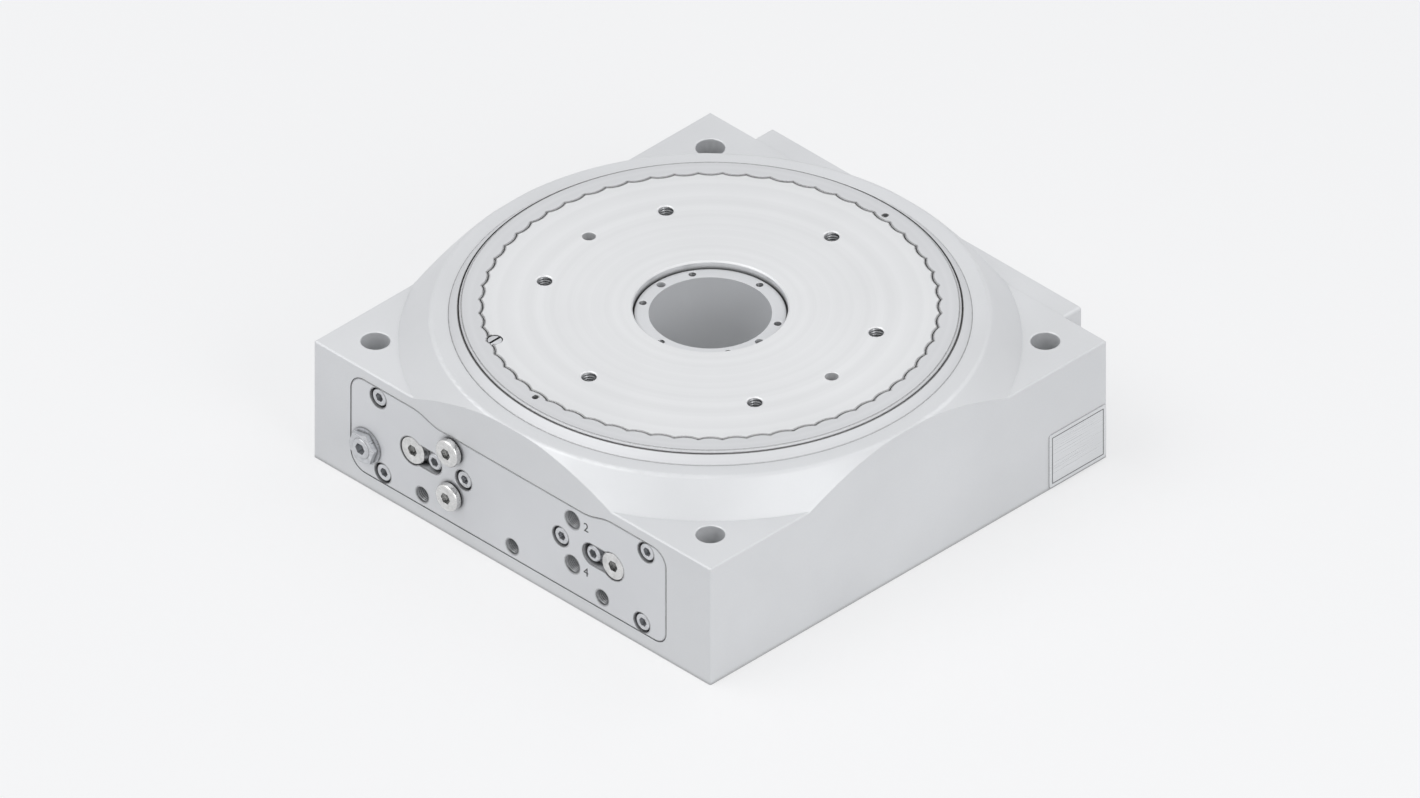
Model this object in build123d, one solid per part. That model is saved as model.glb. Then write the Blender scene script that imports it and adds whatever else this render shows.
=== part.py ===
from build123d import *
import math
import os

# Pneumatic rotary indexing table: a square housing with a scalloped round table on top,
# two rack pistons that turn a gear round a fixed hollow core, and two rings of crown teeth
# that lock the table to the housing or clutch it to the gear.
# Units are millimetres. Origin on the table's axis in the base plane, +Z up,
# control face towards -Y, name plate towards +X.

# Clearances
FIT = 0.05
RUN = 0.2
SCREW_GAP = 0.25

# A countersink of 120 degrees: depth as a share of its width
SINK_SLOPE = 0.577

# Heights, worked out from the table's top
TABLE_Z = 80.5
RIM_Z = TABLE_Z - 4.5
CORNER_Z = RIM_Z - 14.0
RACE_TOP = TABLE_Z - 0.9
CORE_TOP = TABLE_Z - 3.6
SPLIT_Z = TABLE_Z - 10.5
TABLE_UNDER_Z = TABLE_Z - 12.5
FLANGE_Z = SPLIT_Z - 6.0
SEAT_Z = TABLE_Z - 20.5
DECK_Z = TABLE_Z - 28.5
FLOOR_TOP = 24.0

# Housing
SIDE = 245.0
HALF = SIDE / 2
RIM_R = HALF
SLOPE_FOOT_R = RIM_R + 14.0
RIM_ROUND = 3.0
EDGE_ROUND = 0.8
TOP_CHAMFER = 0.6
BASE_BOLT_PITCH = SIDE - 38.0
BASE_HOLE_R = 6.5
GEAR_ROOM_R = 56.0

# Table
TABLE_R = 110.0
SCALLOPS = 60
SCALLOP_TIP_R = TABLE_R - 9.3
SCALLOP_NOTCH_R = SCALLOP_TIP_R - 1.4
SCALLOP_GAP = 0.3
SCALLOP_CHAMFER = 0.35
FLANGE_IN_R = SCALLOP_NOTCH_R - 1.4
TABLE_BORE_R = 34.1
BOLT_CIRCLE_R = 75.0
M8_TAP_R = 3.4
M8_DEPTH = 11.0
TABLE_DOWEL_R = 3.0
TABLE_DOWEL_DEPTH = 10.0
RING_HOLE_R = 1.5
RING_HOLE_DEPTH = 6.0
RING_HOLE_CIRCLE_R = TABLE_R - 7.0
RING_SCREW_CIRCLE_R = TABLE_R - 6.7
LOCK_SCREW_R = 3.5
LOCK_SCREW_HEAD = 4.5
LOCK_SCREW_CIRCLE_R = SCALLOP_TIP_R - 3.2
LOCK_SCREW_ANGLE = 240.0

# M3 screws that hold the rim ring and the tooth rings
M3_R = 1.5
M3_HEAD_R = 2.75
M3_LOW_HEAD_R = 2.4
M3_HEAD_H = 2.7
M3_LOW_HEAD_H = 2.2
M3_GRIP = 6.0

# Core
CORE_BORE_R = 27.0
CORE_R = 33.6
CORE_FLANGE_R = 46.0
CORE_FLANGE_T = 8.0
CORE_BOLT_CIRCLE_R = 30.5
M4_TAP_R = 1.65
M4_DEPTH = 12.0
CORE_DOWEL_R = 2.0
CORE_DOWEL_DEPTH = 10.0
CORE_SCREW_CIRCLE_R = 40.0
CORE_SCREW_GRIP = 12.0

# Bearing
BALL_R = 2.5
BALLS = 36
BALL_CIRCLE_R = TABLE_R + 0.2
RACE_IN_R = TABLE_R + 0.4
RACE_OUT_R = TABLE_R + 4.6
DECK_R = TABLE_R - 6.0
CAGE_R = (BALL_CIRCLE_R - 0.6, BALL_CIRCLE_R + 0.6)
CAGE_HALF_H = BALL_R + 1.0

# Gear and racks
MODULE = 2.0
GEAR_TEETH = 52
PITCH_R = MODULE * GEAR_TEETH / 2
PRESSURE = math.radians(20.0)
BACKLASH = 0.2
GEAR_FACE = 15.0
GEAR_LOW = FLOOR_TOP + 2.0
GEAR_HIGH = GEAR_LOW + GEAR_FACE
BUSH_T = 3.45
BUSH_FLANGE_R = 45.0
GEAR_BORE_R = CORE_R + BUSH_T + FIT
SPLINE_R = (47.5, 50.0)
SPLINES = 12
SPLINE_W = 8.0
SPLINE_GAP = 0.3
GEAR_HUB_TOP = SEAT_Z
STOP_RING_T = 1.8
STOP_RING_R = 41.0
STOP_GROOVE_DEPTH = 1.0
BORE_X = 62.0
BORE_Z = 33.3
BORE_R = 16.0
RACK_R = BORE_R - RUN
SPIGOT_R = BORE_R - 0.1
INDEX_ANGLE = 60.0
HALF_STROKE = PITCH_R * math.radians(INDEX_ANGLE) / 2
RACK_END_GAP = 0.97
RACK_TOOTHED_HALF = 58.0
SEAL_INSET = 5.0
SEAL_W = 3.0
SEAL_DEPTH = 2.0
BAND_INSET = 12.0
BAND_W = 6.0
BAND_DEPTH = 1.2
SEAL_GAP = 0.12

# Crown teeth
CROWN_TEETH = 60
CROWN_TOOTH_H = 2.4
CROWN_REST_GAP = 0.3
CROWN_TABLE_BACK = 3.5
CROWN_ROOT_HALF = 2.2
CROWN_TIP_HALF = 0.9
UPPER_ROOT_Z = TABLE_UNDER_Z - CROWN_TABLE_BACK
CROWN_TIP_Z = UPPER_ROOT_Z - CROWN_TOOTH_H - CROWN_REST_GAP
LOWER_ROOT_Z = CROWN_TIP_Z - CROWN_TOOTH_H
LOCK_TEETH_R = (78.0, 92.0)
DRIVE_TEETH_R = (54.0, 66.0)
LOCK_BACK_R = (LOCK_TEETH_R[0] - 1.5, FLANGE_IN_R - 0.3)
DRIVE_BACK_R = (DRIVE_TEETH_R[0] - 3.0, DRIVE_TEETH_R[1] + 7.6)
TOOTH_SCREW_R = (DRIVE_TEETH_R[1] + 4.6, LOCK_TEETH_R[1] + 3.0)
CLUTCH_LOW = LOWER_ROOT_Z - 4.6

# Lock piston
LOCK_WALL_R = (LOCK_TEETH_R[0] - 2.0, LOCK_TEETH_R[1] + 2.0)
LOCK_CYL_R = (LOCK_WALL_R[0] - 2.0, LOCK_WALL_R[1] + 1.8)
LOCK_CYL_FLOOR = DECK_Z + 2.0
LOCK_CYL_TOP = SEAT_Z + 0.4
LOCK_RING_LOW = LOCK_CYL_FLOOR + 2.3
LOCK_SEAL_Z = (LOCK_RING_LOW + 0.9, LOCK_RING_LOW + 2.3)
LOCK_SEAL_DEPTH = 1.2
GUIDE_PIN_R = 1.5
GUIDE_PIN_CIRCLE_R = (LOCK_TEETH_R[0] + LOCK_TEETH_R[1]) / 2
GUIDE_PIN_SINK = 3.8

# Front cover, seen from the front: x to the right, z up
COVER_T = 10.0
GASKET_T = 0.3
FRONT = -HALF
COVER_BACK = FRONT + COVER_T
POCKET_FLOOR = COVER_BACK + GASKET_T
FRONT_SPIGOT = 2.0
COVER_X = (22.7 - HALF, HALF - 27.2)
COVER_Z = (7.0, 56.7)
COVER_DIP_Z = 53.1
COVER_DIP_X = 47.5
COVER_SHOULDER_X = 58.0
COVER_BEND_R = 24.0
COVER_CORNER_R = (9.0, 7.0, 8.2, 8.3)
COVER_GAP = 0.15
PORT_AT = ((37.2, 45.8), (37.2, 22.1))
PORT_R = 4.4
PORT_DEPTH = 8.0
PORT_PLUG_R = 6.6
PORT_PLUG_HEAD = 3.2
PORT_SEAL_T = 0.9
AIR_DUCT_AT = (47.0, 14.0)
AIR_DUCT_R = 2.5
AIR_GROOVE = 3.0
AIR_GROOVE_START = PORT_R + 0.6
CYLINDER_INLET_AT = (52.0, 40.0)
SENSOR_AT = ((-55.6, 13.0), (0.0, 13.0), (55.6, 13.5))
SENSOR_R = 3.75
SENSOR_DEPTH = 60.0
PLUG_R = 7.0
PLUG_DEPTH = 8.5
NEEDLE_AT = (49.0, 33.2)
NEEDLE_R = 4.0
NEEDLE_SLOT_R = 5.5
NEEDLE_SLOT_DEPTH = 4.0
COVER_SCREW_AT = ((-82.7, 51.2), (82.7, 51.2), (-79.8, 12.5), (80.2, 12.5), (-30.0, 33.5), (30.0, 33.5))

# Rear cover
REAR_HALF_X = HALF - 26.7
REAR_T = 11.0
REAR_Z = (1.0, CORNER_Z - 1.0)
REAR_SPIGOT = 12.0
REAR_FACE = HALF + GASKET_T
REAR_END = HALF - REAR_SPIGOT
O_RING_Y = HALF - 5.5
O_RING_R = 0.75
AIR_INLET_AT = (56.0, 22.0)
REAR_SCREW_AT = ((-86.0, 51.2), (86.0, 51.2), (-86.0, 12.0), (86.0, 12.0), (-30.0, 33.5), (30.0, 33.5))

# M5 cap screw
M5_R = 2.5
M5_HEAD_R = 4.25
M5_HEAD_H = 5.0
M5_SOCKET_AF = 4.0
M5_SINK_R = 5.0
M5_SINK = 5.6
M5_LENGTH = 18.0

# Shock absorber and striker
ABSORBER_AT = (-90.0, 22.3)
ABSORBER_R = 5.0
ABSORBER_OIL_R = 3.6
ABSORBER_ROD_R = 2.0
ABSORBER_FRONT = FRONT - 4.1
ABSORBER_BACK = FRONT + 66.5
ABSORBER_WASHER_T = 0.9
ABSORBER_NUT_T = 2.6
STRIKER_FRONT = FRONT + 77.5
STRIKER_T = 12.0
STRIKER_X = (ABSORBER_AT[0] - 4.0, -69.9)
STRIKER_Z = (17.0, 29.0)
STRIKER_SCREW_X = -74.0
M4_R = 2.0
M4_HEAD_R = 3.4
M4_HEAD_H = 3.9
STRIKER_Y = (STRIKER_FRONT + 2 * HALF_STROKE, STRIKER_FRONT + 2 * HALF_STROKE + STRIKER_T)
PIT_X = (STRIKER_X[0] - 1.6, STRIKER_X[1] + 1.4)
PIT_Y = (STRIKER_FRONT - 1.0, STRIKER_Y[1] + 1.5)
PIT_TOP = STRIKER_Z[1] + 1.2
PLATE_T = 3.0
PLATE_MARGIN = 6.0

# Name plate
LABEL_Y = (HALF - 35.8, HALF - 0.9)
LABEL_Z = (1.1, 28.8)
LABEL_T = 0.5

RACK_LENGTH = (REAR_END - COVER_BACK - FRONT_SPIGOT) - 2 * HALF_STROKE - 2 * RACK_END_GAP


def disc(radius, z_low, z_high, at=(0.0, 0.0)):
    """Upright cylinder between two heights."""
    body = Cylinder(radius, z_high - z_low, align=(Align.CENTER, Align.CENTER, Align.MIN))
    return Pos(at[0], at[1], z_low) * body


def ring(r_in, r_out, z_low, z_high):
    """Upright ring about the table's axis."""
    return disc(r_out, z_low, z_high) - disc(r_in, z_low - 1, z_high + 1)


def cone(r_low, r_high, z_low, z_high, at=(0.0, 0.0)):
    body = Cone(r_low, r_high, z_high - z_low, align=(Align.CENTER, Align.CENTER, Align.MIN))
    return Pos(at[0], at[1], z_low) * body


def block(x, y, z):
    """Box between pairs of limits."""
    size = Box(x[1] - x[0], y[1] - y[0], z[1] - z[0], align=(Align.MIN,) * 3)
    return Pos(x[0], y[0], z[0]) * size


def prism_y(sketch, y_low, y_high):
    """Sketch in x and z, made solid between two y planes."""
    return extrude(Plane.XZ.offset(-y_high) * sketch, amount=y_high - y_low)


def rod_y(radius, y_low, y_high, at):
    """Cylinder along y at a place (x, z)."""
    return prism_y(Pos(at[0], at[1]) * Circle(radius), y_low, y_high)


def tapered_y(r_front, r_back, y_front, y_back, at):
    """Cone along y at a place (x, z), for chamfers and points."""
    body = Cone(r_front, r_back, y_back - y_front, align=(Align.CENTER, Align.CENTER, Align.MIN))
    return Pos(at[0], y_front, at[1]) * Rot(-90, 0, 0) * body


def hexagon(across_flats, turn=0.0):
    return Rot(0, 0, turn) * RegularPolygon(across_flats / 2, 6, major_radius=False)


def around(count, radius, start=0.0):
    """Places on a circle about the table's axis."""
    angles = [math.radians(start + 360.0 * i / count) for i in range(count)]
    return [(radius * math.cos(a), radius * math.sin(a)) for a in angles]


def mirrored(at):
    return (-at[0], at[1])


def drill(radius, z_low, z_top, at, mouth=0.0):
    """Cutter for a hole from above, with a mouth sunk wider by the stated amount."""
    cutter = disc(radius, z_low, z_top + 1, at)
    if mouth:
        depth = mouth * SINK_SLOPE
        cutter += cone(radius, radius + 2 * mouth, z_top - depth, z_top + depth, at)
    return cutter


def drill_y(radius, y_front, y_back, at, mouth=0.0):
    """Cutter for a hole from the front, with a mouth sunk wider by the stated amount."""
    cutter = rod_y(radius, y_front - 1, y_back, at)
    if mouth:
        depth = mouth * SINK_SLOPE
        cutter += tapered_y(radius + 2 * mouth, radius, y_front - depth, y_front + depth, at)
    return cutter


def join(pieces):
    total = pieces[0]
    if len(pieces) > 1:
        total = total.fuse(*pieces[1:])
    return total


def save(name, shape):
    shape.label = name
    export_step(shape, os.path.join("parts", name + ".step"))


# Housing

def dome():
    """Sloping rim round the table seat, cut off by the four side faces."""
    below = 2.0
    slope = (SLOPE_FOOT_R - RIM_R) / (RIM_Z - CORNER_Z)
    foot = SLOPE_FOOT_R + below * slope
    profile = Polygon((0, CORNER_Z - below), (foot, CORNER_Z - below), (RIM_R, RIM_Z), (0, RIM_Z), align=None)
    corner = profile.vertices().sort_by_distance((RIM_R, RIM_Z, 0))[0]
    profile = fillet(corner, RIM_ROUND)
    body = revolve(Plane.XZ * profile, Axis.Z)
    return body & block((-HALF, HALF), (-HALF, HALF), (0, RIM_Z + 1))


def cover_outline(grow=0.0):
    """Front cover seen from the front, dipping in the middle under the table seat."""
    left, right = COVER_X[0] - grow, COVER_X[1] + grow
    low, high, dip = COVER_Z[0] - grow, COVER_Z[1] + grow, COVER_DIP_Z + grow
    shape = Polygon(
        (left, low), (right, low), (right, high), (COVER_SHOULDER_X, high), (COVER_DIP_X, dip),
        (-COVER_DIP_X, dip), (-COVER_SHOULDER_X, high), (left, high), align=None)
    corners = ((left, low), (right, low), (right, high), (left, high))
    for corner, radius in zip(corners, COVER_CORNER_R):
        shape = fillet(shape.vertices().sort_by_distance((corner[0], corner[1], 0))[0], radius + grow)
    for side in (-1, 1):
        for bend in ((side * COVER_SHOULDER_X, high), (side * COVER_DIP_X, dip)):
            shape = fillet(shape.vertices().sort_by_distance((bend[0], bend[1], 0))[0], COVER_BEND_R)
    return shape


def pit_plate_limits(margin):
    x = (PIT_X[0] - margin, PIT_X[1] + margin)
    y = (PIT_Y[0] - margin, PIT_Y[1] + margin)
    return x, y


def pit_screw_places():
    x, y = pit_plate_limits(PLATE_MARGIN / 2)
    return [(px, py) for px in x for py in y]


def housing():
    body = block((-HALF, HALF), (-HALF, HALF), (0, CORNER_Z))
    body = fillet(body.edges().filter_by(Axis.Z), EDGE_ROUND)
    body = chamfer(body.faces().sort_by(Axis.Z)[-1].edges(), TOP_CHAMFER)
    body += dome()
    body -= disc(RACE_OUT_R + FIT, SEAT_Z, RIM_Z + 1)
    body -= disc(DECK_R, DECK_Z, SEAT_Z + 1)
    body -= disc(GEAR_ROOM_R, FLOOR_TOP, DECK_Z + 1)
    body -= disc(CORE_R + FIT, -1, FLOOR_TOP + 1)
    body -= disc(CORE_FLANGE_R + 0.1, -1, CORE_FLANGE_T)
    body -= prism_y(cover_outline(COVER_GAP), FRONT - 1, POCKET_FLOOR)
    for side in (-1, 1):
        body -= rod_y(BORE_R, POCKET_FLOOR - 1, HALF + 1, (side * BORE_X, BORE_Z))
        body -= rod_y(AIR_DUCT_R, POCKET_FLOOR - 1, HALF + 1, (side * AIR_DUCT_AT[0], AIR_DUCT_AT[1]))
    for at in SENSOR_AT:
        body -= rod_y(SENSOR_R + SCREW_GAP, POCKET_FLOOR - 1, FRONT + SENSOR_DEPTH, at)
    for at in COVER_SCREW_AT:
        body -= rod_y(M5_R + FIT, POCKET_FLOOR - 1, FRONT + M5_SINK + M5_LENGTH + 1, at)
    for at in REAR_SCREW_AT:
        body -= rod_y(M5_R + FIT, REAR_FACE + REAR_T - M5_SINK - M5_LENGTH - 1, HALF + 1, at)
    for at in around(4, BASE_BOLT_PITCH / math.sqrt(2), 45.0):
        body -= drill(BASE_HOLE_R, -1, CORNER_Z, at, 0.5)
    for at in around(6, CORE_SCREW_CIRCLE_R):
        body -= disc(M5_R + FIT, CORE_FLANGE_T - 1, CORE_FLANGE_T + CORE_SCREW_GRIP + 1, at)
    for at in around(4, GUIDE_PIN_CIRCLE_R):
        body -= disc(GUIDE_PIN_R + FIT, DECK_Z - GUIDE_PIN_SINK - 0.2, DECK_Z + 1, at)
    body -= rod_y(ABSORBER_R + FIT, POCKET_FLOOR - 1, PIT_Y[0] + 1, ABSORBER_AT)
    body -= block(PIT_X, PIT_Y, (-1, PIT_TOP))
    plate_x, plate_y = pit_plate_limits(PLATE_MARGIN)
    body -= block(plate_x, plate_y, (-1, PLATE_T))
    for at in pit_screw_places():
        body -= disc(M3_R + FIT, 0, PLATE_T + 8.0, at)
    return body


# Front cover and what it carries

def cover_holes(radius, places, y_low, y_high):
    return join([rod_y(radius, y_low, y_high, at) for at in places])


def beyond_port(port, target):
    """Place just past a port's edge on the way to a target, so the port's floor stays whole."""
    share = AIR_GROOVE_START / math.dist(port, target)
    return (port[0] + share * (target[0] - port[0]), port[1] + share * (target[1] - port[1]))


def air_groove(start, end, y_low, y_high, width=4.0):
    """Shallow milled air way between two places on the inner face."""
    length = math.dist(start, end)
    turn = math.degrees(math.atan2(end[1] - start[1], end[0] - start[0]))
    middle = ((start[0] + end[0]) / 2, (start[1] + end[1]) / 2)
    slot = Pos(*middle) * Rot(0, 0, turn) * SlotCenterToCenter(length, width)
    return prism_y(slot, y_low, y_high)


def needle_slot(side):
    centre = side * (BORE_X + NEEDLE_AT[0]) / 2
    slot = Pos(centre, BORE_Z) * SlotCenterToCenter(BORE_X - NEEDLE_AT[0], 2 * NEEDLE_SLOT_R)
    return prism_y(slot, FRONT - 1, FRONT + NEEDLE_SLOT_DEPTH)


def front_cover():
    body = prism_y(cover_outline(), FRONT, COVER_BACK)
    body = chamfer(body.faces().sort_by(Axis.Y)[0].edges(), 0.4)
    inner = COVER_BACK + 1
    for side in (-1, 1):
        axis = (side * BORE_X, BORE_Z)
        body += rod_y(SPIGOT_R, COVER_BACK, COVER_BACK + FRONT_SPIGOT, axis)
    for side in (-1, 1):
        axis = (side * BORE_X, BORE_Z)
        needle = (side * NEEDLE_AT[0], NEEDLE_AT[1])
        body -= needle_slot(side)
        body -= drill_y(PLUG_R, FRONT, FRONT + PLUG_DEPTH, axis)
        body -= rod_y(3.0, FRONT, COVER_BACK + 3, axis)
        body -= rod_y(NEEDLE_R + RUN, FRONT, FRONT + PLUG_DEPTH + RUN, needle)
        body -= rod_y(2.2, FRONT, COVER_BACK + 3, needle)
        upper = (side * PORT_AT[0][0], PORT_AT[0][1])
        lower = (side * PORT_AT[1][0], PORT_AT[1][1])
        for port in (upper, lower):
            body -= drill_y(PORT_R, FRONT, FRONT + PORT_DEPTH, port, 0.4)
        inlet = (side * CYLINDER_INLET_AT[0], CYLINDER_INLET_AT[1])
        duct = (side * AIR_DUCT_AT[0], AIR_DUCT_AT[1])
        groove_floor = COVER_BACK - AIR_GROOVE
        body -= air_groove(beyond_port(upper, inlet), inlet, groove_floor, COVER_BACK + 3)
        body -= air_groove(beyond_port(lower, duct), duct, groove_floor, inner)
    for at in SENSOR_AT:
        body -= drill_y(SENSOR_R, FRONT, inner, at, 0.4)
    for at in COVER_SCREW_AT:
        body -= rod_y(M5_SINK_R, FRONT - 1, FRONT + M5_SINK, at)
        body -= rod_y(M5_R + SCREW_GAP, FRONT, inner, at)
    body -= drill_y(ABSORBER_R + FIT, FRONT, inner, ABSORBER_AT)
    return body


def front_gasket():
    body = prism_y(cover_outline(), COVER_BACK, POCKET_FLOOR)
    for side in (-1, 1):
        body -= rod_y(BORE_R + 0.1, COVER_BACK - 1, POCKET_FLOOR + 1, (side * BORE_X, BORE_Z))
        duct = (side * AIR_DUCT_AT[0], AIR_DUCT_AT[1])
        body -= rod_y(AIR_DUCT_R, COVER_BACK - 1, POCKET_FLOOR + 1, duct)
    body -= cover_holes(M5_R + SCREW_GAP, COVER_SCREW_AT, COVER_BACK - 1, POCKET_FLOOR + 1)
    body -= cover_holes(SENSOR_R + SCREW_GAP, SENSOR_AT, COVER_BACK - 1, POCKET_FLOOR + 1)
    body -= rod_y(ABSORBER_R + SCREW_GAP, COVER_BACK - 1, POCKET_FLOOR + 1, ABSORBER_AT)
    return body


def cap_screw_y(at, head_front, length, facing=1):
    """M5 cap screw along y. facing 1 goes in from the front, -1 from the rear."""
    head = rod_y(M5_HEAD_R, 0, M5_HEAD_H, (0, 0))
    head = chamfer(head.faces().sort_by(Axis.Y)[0].edges(), 0.4)
    body = head + rod_y(M5_R, M5_HEAD_H, M5_HEAD_H + length, (0, 0))
    body -= prism_y(hexagon(M5_SOCKET_AF), -1, 2.6)
    if facing < 0:
        body = Rot(0, 0, 180) * body
    return Pos(at[0], head_front, at[1]) * body


def front_cover_screws():
    front = FRONT + M5_SINK - M5_HEAD_H
    return Compound(children=[cap_screw_y(at, front, M5_LENGTH) for at in COVER_SCREW_AT])


def port_plug(at):
    """Screwed plug with a round, socketed head that presses a sealing ring on the cover."""
    body = rod_y(PORT_R - FIT, FRONT - PORT_SEAL_T, FRONT + PORT_DEPTH - 1.0, at)
    head = rod_y(PORT_PLUG_R, FRONT - PORT_SEAL_T - PORT_PLUG_HEAD, FRONT - PORT_SEAL_T, at)
    body += fillet(head.faces().sort_by(Axis.Y)[0].edges(), 1.2)
    return body - prism_y(Pos(at[0], at[1]) * hexagon(5.0), FRONT - 5, FRONT - 0.5)


def port_plugs():
    return Compound(children=[port_plug(mirrored(at)) for at in PORT_AT])


def port_plug_seals():
    """Flat sealing rings between the plugs' heads and the cover."""
    seals = []
    for at in PORT_AT:
        seal = rod_y(PORT_PLUG_R - 0.3, FRONT - PORT_SEAL_T, FRONT, mirrored(at))
        seals.append(seal - rod_y(PORT_R + 0.5, FRONT - 2, FRONT + 1, mirrored(at)))
    return Compound(children=seals)


def cylinder_plug(at):
    front = FRONT + 0.3
    body = rod_y(PLUG_R - FIT, front, FRONT + PLUG_DEPTH - 0.1, at)
    body = chamfer(body.faces().sort_by(Axis.Y)[0].edges(), 0.5)
    return body - prism_y(Pos(at[0], at[1]) * hexagon(5.0), front - 1, front + 4.0)


def cylinder_plugs():
    return Compound(children=[cylinder_plug((side * BORE_X, BORE_Z)) for side in (-1, 1)])


def throttle(side):
    """Needle screw that sets the air flow of one cylinder."""
    at = (side * NEEDLE_AT[0], NEEDLE_AT[1])
    front = FRONT + 1.0
    body = rod_y(NEEDLE_R, front, FRONT + PLUG_DEPTH, at)
    body = chamfer(body.faces().sort_by(Axis.Y)[0].edges(), 0.5)
    body += rod_y(1.9, FRONT + PLUG_DEPTH, COVER_BACK - 1.0, at)
    body += tapered_y(1.9, 0.6, COVER_BACK - 1.0, COVER_BACK + 1.6, at)
    return body - prism_y(Pos(at[0], at[1]) * hexagon(4.0), front - 1, front + 4.0)


# Rear cover

def rear_cover():
    outer = block((-REAR_HALF_X, REAR_HALF_X), (REAR_FACE, REAR_FACE + REAR_T), REAR_Z)
    body = fillet(outer.edges().filter_by(Axis.Y), 1.5)
    body = chamfer(body.faces().sort_by(Axis.Y)[-1].edges(), 0.5)
    face_end = REAR_FACE + REAR_T
    for side in (-1, 1):
        axis = (side * BORE_X, BORE_Z)
        body += rod_y(SPIGOT_R, REAR_END, REAR_FACE, axis)
        groove = rod_y(BORE_R + 1, O_RING_Y - 1.0, O_RING_Y + 1.0, axis)
        body -= groove - rod_y(BORE_R - 1.7, O_RING_Y - 2.0, O_RING_Y + 2.0, axis)
        duct = (side * AIR_DUCT_AT[0], AIR_DUCT_AT[1])
        inlet = (side * AIR_INLET_AT[0], AIR_INLET_AT[1])
        body -= air_groove(duct, inlet, REAR_FACE - 1, REAR_FACE + AIR_GROOVE)
        body -= rod_y(2.0, REAR_END - 1, REAR_FACE + AIR_GROOVE, inlet)
    for at in REAR_SCREW_AT:
        body -= rod_y(M5_SINK_R, face_end - M5_SINK, face_end + 1, at)
        body -= rod_y(M5_R + SCREW_GAP, REAR_FACE - 1, face_end, at)
    return body


def rear_gasket():
    body = block((-REAR_HALF_X, REAR_HALF_X), (HALF, REAR_FACE), REAR_Z)
    body = fillet(body.edges().filter_by(Axis.Y), 1.5)
    for side in (-1, 1):
        body -= rod_y(BORE_R + 0.1, HALF - 1, REAR_FACE + 1, (side * BORE_X, BORE_Z))
        duct = (side * AIR_DUCT_AT[0], AIR_DUCT_AT[1])
        body -= rod_y(AIR_DUCT_R, HALF - 1, REAR_FACE + 1, duct)
    return body - cover_holes(M5_R + SCREW_GAP, REAR_SCREW_AT, HALF - 1, REAR_FACE + 1)


def rear_cover_screws():
    head = REAR_FACE + REAR_T - M5_SINK + M5_HEAD_H
    return Compound(children=[cap_screw_y(at, head, M5_LENGTH, -1) for at in REAR_SCREW_AT])


def cover_o_rings():
    rings = []
    for side in (-1, 1):
        torus = Torus(BORE_R - O_RING_R - 0.1, O_RING_R)
        rings.append(Pos(side * BORE_X, O_RING_Y, BORE_Z) * Rot(90, 0, 0) * torus)
    return Compound(children=rings)


# Fixed core

def centre_hub():
    body = disc(CORE_R, 0, CORE_TOP) + disc(CORE_FLANGE_R, 0, CORE_FLANGE_T)
    body = chamfer(body.faces().sort_by(Axis.Z)[-1].outer_wire().edges(), 0.5)
    body -= disc(CORE_BORE_R, -1, CORE_TOP + 1)
    body -= ring(CORE_R - STOP_GROOVE_DEPTH, CORE_R + 1, GEAR_HUB_TOP + 0.6, GEAR_HUB_TOP + 0.8 + STOP_RING_T)
    for at in around(6, CORE_BOLT_CIRCLE_R, 30.0):
        body -= drill(M4_TAP_R, CORE_TOP - M4_DEPTH, CORE_TOP, at, 0.35)
    for at in around(2, CORE_BOLT_CIRCLE_R):
        body -= drill(CORE_DOWEL_R, CORE_TOP - CORE_DOWEL_DEPTH, CORE_TOP, at, 0.3)
    for at in around(6, CORE_SCREW_CIRCLE_R):
        body -= disc(M5_SINK_R, -1, M5_HEAD_H + 0.4, at)
        body -= disc(M5_R + SCREW_GAP, 0, CORE_FLANGE_T + 1, at)
    return body


def hub_screws():
    screws = []
    for at in around(6, CORE_SCREW_CIRCLE_R):
        body = disc(M5_HEAD_R, 0.4, M5_HEAD_H + 0.4, at)
        body += disc(M5_R, M5_HEAD_H + 0.4, CORE_FLANGE_T + CORE_SCREW_GRIP, at)
        body -= Pos(at[0], at[1], -0.6) * extrude(hexagon(M5_SOCKET_AF), amount=3.6)
        screws.append(body)
    return Compound(children=screws)


def gear_bush():
    sleeve = ring(CORE_R + FIT, GEAR_BORE_R - 0.1, FLOOR_TOP, GEAR_HUB_TOP)
    return sleeve + ring(CORE_R + FIT, BUSH_FLANGE_R, FLOOR_TOP, GEAR_LOW - 0.15)


def gear_retaining_ring():
    """Open spring ring in a groove of the core, above the gear."""
    low = GEAR_HUB_TOP + 0.7
    body = ring(CORE_R - STOP_GROOVE_DEPTH + 0.1, STOP_RING_R, low, low + STOP_RING_T)
    return body - block((-3.0, 3.0), (CORE_R - 3, STOP_RING_R + 1), (low - 1, low + STOP_RING_T + 1))


# Ball bearing

def race_cutter():
    """Groove for the balls with room for the cage."""
    groove = Pos(0, 0, SPLIT_Z) * Torus(BALL_CIRCLE_R, BALL_R + RUN)
    low = SPLIT_Z - CAGE_HALF_H - RUN
    high = SPLIT_Z + CAGE_HALF_H + RUN
    return groove + ring(CAGE_R[0] - RUN, CAGE_R[1] + RUN, low, high)


def outer_bearing_ring():
    body = ring(RACE_IN_R, RACE_OUT_R, SEAT_Z, RIM_Z)
    collar = Polygon((RACE_IN_R, RIM_Z), (RACE_OUT_R, RIM_Z), (RACE_IN_R, RACE_TOP), align=None)
    body += revolve(Plane.XZ * collar, Axis.Z)
    return body - race_cutter()


def bearing_balls():
    balls = [Pos(x, y, SPLIT_Z) * Sphere(BALL_R) for x, y in around(BALLS, BALL_CIRCLE_R)]
    return Compound(children=balls)


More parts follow.
